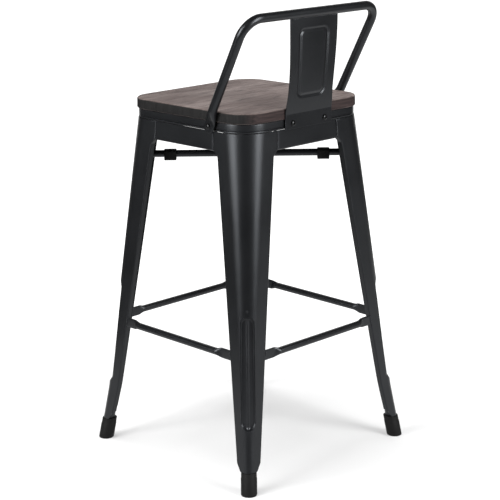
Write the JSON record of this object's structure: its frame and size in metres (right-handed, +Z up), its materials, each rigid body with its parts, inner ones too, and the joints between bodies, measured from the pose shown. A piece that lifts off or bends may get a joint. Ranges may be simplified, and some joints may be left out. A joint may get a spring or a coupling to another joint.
{
  "type": "bar stool with footrest",
  "caption": "Counter-height bar stool with splayed pressed-steel legs, footrest rungs, a stained timber seat board and a low back made of a tube hoop and a pressed splat.",
  "frame": {"origin": "on the floor under the middle of the seat", "axes": "+Z up, +Y behind the sitter towards the backrest, +X the sitter's left"},
  "size_m": [0.4202, 0.4202, 0.8305],
  "materials": {
    "black_powder_coat": "satin black powder coat with a fine orange peel",
    "stained_timber": "dark stained solid timber, open grain, matt varnish",
    "black_rubber": "matt black moulded rubber",
    "black_fastener": "black oxide steel, slightly oily sheen"
  },
  "bodies": {
    "root": {"leg_rear_left": "black_powder_coat", "leg_rear_right": "black_powder_coat", "leg_front_right": "black_powder_coat", "leg_front_left": "black_powder_coat", "foot_cap_rear_left": "black_rubber", "foot_stub_rear_left": "black_powder_coat", "foot_cap_rear_right": "black_rubber", "foot_stub_rear_right": "black_powder_coat", "foot_cap_front_right": "black_rubber", "foot_stub_front_right": "black_powder_coat", "foot_cap_front_left": "black_rubber", "foot_stub_front_left": "black_powder_coat", "apron_back": "black_powder_coat", "rung_back": "black_powder_coat", "apron_right": "black_powder_coat", "rung_right": "black_powder_coat", "apron_front": "black_powder_coat", "rung_front": "black_powder_coat", "apron_left": "black_powder_coat", "rung_left": "black_powder_coat", "brace_upper": "black_powder_coat", "brace_lower": "black_powder_coat", "brace_bumper_rear_left": "black_rubber", "brace_bumper_rear_right": "black_rubber", "brace_bumper_front_right": "black_rubber", "brace_bumper_front_left": "black_rubber", "seat_pan": "black_powder_coat", "seat_board": "stained_timber", "seat_screw_rear_left": "black_fastener", "seat_screw_rear_right": "black_fastener", "seat_screw_front_right": "black_fastener", "seat_screw_front_left": "black_fastener", "backrest_hoop": "black_powder_coat", "backrest_splat": "black_powder_coat", "hoop_left_bolt": "black_fastener", "hoop_left_washer": "black_rubber", "hoop_left_nut": "black_fastener", "hoop_right_bolt": "black_fastener", "hoop_right_washer": "black_rubber", "hoop_right_nut": "black_fastener", "splat_left_bolt": "black_fastener", "splat_left_washer": "black_rubber", "splat_left_nut": "black_fastener", "splat_right_bolt": "black_fastener", "splat_right_washer": "black_rubber", "splat_right_nut": "black_fastener"}
  },
  "joints": []
}
